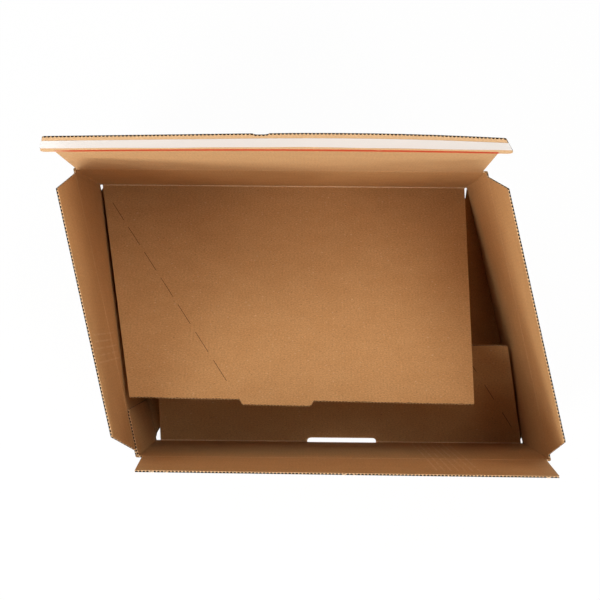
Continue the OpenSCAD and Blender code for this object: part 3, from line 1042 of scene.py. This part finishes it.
lid = [lid_main(), seal_edge()]
front = top_flap(FRONT, "front", (15 * MM, 15.6 * MM), FRONT_FLAP, FRONT_LEAN, 23)
left = top_flap(LEFT, "left", (31.8 * MM, 31.5 * MM), SIDE_FLAP, LEFT_LEAN, 41)
front_tufts = tufts()
right = top_flap(RIGHT, "right", (31.8 * MM, 27.5 * MM), SIDE_FLAP, RIGHT_LEAN, 43)


# Top creases
def crease(name, wall, side, lean, sheet_at):
    """The crushed board of a top crease, from the wall's top over the hinge line into the flap."""
    overlap, spread, dent_out, dent_in = 0.4 * MM, 1.1 * MM, 0.12 * MM, 0.5 * MM
    zs = np.linspace(-CREASE_HALF - overlap, CREASE_HALF + overlap, 15)
    bell = np.exp(-((zs / spread) ** 2))
    outer = [(-BOARD + dent_out * b, WALL_TOP + z) for z, b in zip(zs, bell)]
    inner = [(-dent_in * b, WALL_TOP + z) for z, b in zip(zs, bell)]
    section = outer + inner[::-1]

    def put(p):
        w = np.clip((p[:, 2] - WALL_TOP) / CREASE_HALF * 0.5 + 0.5, 0, 1)
        return wall.put(turned(p, lean(p[:, 0]) * w, -BOARD - HINGE_OUT, WALL_TOP))

    ends = (SHOULDERS[side][0], wall.length - SHOULDERS[side][1])
    return swept(name, section, ends, put, sheet_at, steps=12, wear_and_painted_light=RUBBED_CREASE)


def side_crease(wall, side, lean):
    return side + "_flap", crease(side + "_crease_strip", wall, side, lean, on_sheet(side)), wall


creases = [
    ("lid", crease("lid_crease_strip", REAR, "lid", lid_lean, on_sheet("rear")), REAR),
    side_crease(FRONT, "front", FRONT_LEAN),
    side_crease(LEFT, "left", LEFT_LEAN),
    side_crease(RIGHT, "right", RIGHT_LEAN),
]


# Strips on the sealing edge
def strip(name, low, high, inset, under, thick, material, wave=0.0):
    """A thin strip on the sealing edge's inner face, cut to its ends; its lower edge wanders."""
    pick = random.Random(7)
    phase = [pick.uniform(0, 6.28) for _ in range(2)]
    foot = (seal_end(0, low) + inset, seal_end(1, low) - inset)
    top = (seal_end(0, high) + inset, seal_end(1, high) - inset)
    xs = np.linspace(foot[0], foot[1], 90)
    rise = 1.2 * (2 * xs / WIDTH - 1) ** 4
    rise += 0.6 * np.sin(xs * 31 + phase[0]) + 0.4 * np.sin(xs * 77 + phase[1])
    lower = [(x, low + wave * d) for x, d in zip(xs, rise)]
    ends = [(x, z + 0.05 * MM) for x, z in (lower[0], lower[-1])]
    upper = [ends[0], (top[0], high), (top[1], high), ends[1]]
    local, faces = slab(lower, upper, under, under + thick, 20 * MM, 2)
    thing = finish_piece(name, local, faces, on_seal, on_sheet("rear", WALL_TOP + LID))
    thing.data.materials.append(material)
    return thing


RED, LINER, GLUE = tape_material(), liner_material(), glue_material()
# Lower and upper edge over the tear line, inset of the ends, gap to the board, thickness
tape = strip("tear_tape_strip", 0.4 * MM, 4.4 * MM, 11 * MM, 0.0, 0.15 * MM, RED, 0.0)
glue = strip("glue_line", 11.6 * MM, 30.5 * MM, 1.5 * MM, 0.0, 0.12 * MM, GLUE, 0.5 * MM)
paper = strip("liner_strip", 10 * MM, 32 * MM, -0.9 * MM, 0.14 * MM, 0.12 * MM, LINER, 0.9 * MM)

# Riding
for piece in walls + beads + folds + [lap] + bottom + ridges:
    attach(piece, "carton")
    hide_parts("carton_body")
for piece in lid:
    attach(piece, "lid")
    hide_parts("lid_flap")
for piece, body, node in (
    (front, "front_flap", "front_flap"), (front_tufts, "front_flap", "front_flap"),
    (left, "left_flap", "left_side_flap"), (right, "right_flap", "right_side_flap"),
):
    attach(piece, body)
    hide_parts(node)
for body, piece, wall in creases:
    middle = np.array([[wall.length / 2, -BOARD / 2, WALL_TOP]])
    below = wall.put(middle - np.array([0, 0, CREASE_HALF]))[0]
    above = wall.put(middle + np.array([0, 0, CREASE_HALF]))[0]
    tuple(below)
    tuple(above)
    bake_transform(piece)
    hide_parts("carton_body")
for piece, node, slot in (
    (tape, "tear_tape", "red_tape"), (glue, "adhesive_strip", "glue"),
    (paper, "release_liner", "liner_paper"),
):
    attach(piece, "lid")
    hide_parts(node)


# Studio
def seen_white(tree, share):
    """A share for rays that see the white studio: from the camera, a gloss or a clear thing."""
    path = tree.nodes.new("ShaderNodeLightPath")
    seen = path.outputs["Is Camera Ray"]
    for name in ("Is Glossy Ray", "Is Transmission Ray"):
        either = tree.nodes.new("ShaderNodeMath")
        either.operation = "MAXIMUM"
        tree.links.new(seen, either.inputs[0])
        tree.links.new(path.outputs[name], either.inputs[1])
        seen = either.outputs[0]
    part = tree.nodes.new("ShaderNodeMath")
    part.operation = "MULTIPLY"
    tree.links.new(seen, part.inputs[0])
    part.inputs[1].default_value = share
    return part.outputs[0]


def floor():
    points = [(-6, -6, 0), (6, -6, 0), (6, 6, 0), (-6, 6, 0)]
    thing = new_object("studio_floor", points, [(0, 1, 2, 3)])
    mat = bpy.data.materials.new("studio_white")
    mat.use_nodes = True
    nodes, links = mat.node_tree.nodes, mat.node_tree.links
    nodes.clear()
    out = nodes.new("ShaderNodeOutputMaterial")
    matte = nodes.new("ShaderNodeBsdfDiffuse")
    matte.inputs["Color"].default_value = (0.9, 0.9, 0.9, 1)
    glow = nodes.new("ShaderNodeEmission")
    glow.inputs["Strength"].default_value = 1.0
    mix = nodes.new("ShaderNodeMixShader")
    links.new(seen_white(mat.node_tree, 0.97), mix.inputs[0])
    links.new(matte.outputs[0], mix.inputs[1])
    links.new(glow.outputs[0], mix.inputs[2])
    links.new(mix.outputs[0], out.inputs["Surface"])
    thing.data.materials.append(mat)


def sky():
    world = bpy.data.worlds.new("studio")
    bpy.context.scene.world = world
    world.use_nodes = True
    nodes, links = world.node_tree.nodes, world.node_tree.links
    nodes.clear()
    out = nodes.new("ShaderNodeOutputWorld")
    fill = nodes.new("ShaderNodeBackground")
    fill.inputs["Strength"].default_value = 0.01
    white = nodes.new("ShaderNodeBackground")
    white.inputs["Strength"].default_value = 1.0
    white.inputs["Color"].default_value = (1, 1, 1, 1)
    fill.inputs["Color"].default_value = (1, 1, 1, 1)
    mix = nodes.new("ShaderNodeMixShader")
    links.new(seen_white(world.node_tree, 1.0), mix.inputs[0])
    links.new(fill.outputs[0], mix.inputs[1])
    links.new(white.outputs[0], mix.inputs[2])
    links.new(mix.outputs[0], out.inputs["Surface"])


# Soft lamps round the carton: azimuth from the front, elevation in degrees, power in watts
LAMPS = (
    (45, 15, 26), (45, 55, 16), (90, 72, 8), (135, 55, 11), (135, 72, 8),
    (225, 55, 12), (248, 45, 5), (315, 25, 40), (315, 55, 22),
)
LAMP_DISTANCE, LAMP_SIZE = 2.6, 0.9


def lamp(azimuth, elevation, power):
    data = bpy.data.lights.new("soft_lamp", "AREA")
    data.size = LAMP_SIZE
    data.energy = power
    thing = bpy.data.objects.new("soft_lamp", data)
    bpy.context.collection.objects.link(thing)
    a, e = math.radians(azimuth), math.radians(elevation)
    way = Vector((math.sin(a) * math.cos(e), -math.cos(a) * math.cos(e), math.sin(e)))
    thing.location = Vector((0, 0, 0.2)) + way * LAMP_DISTANCE
    thing.rotation_euler = (-way).to_track_quat("-Z", "Y").to_euler()


floor()
sky()
for azimuth, elevation, power in LAMPS:
    lamp(azimuth, elevation, power)

bpy.context.scene.view_settings.view_transform = "Standard"
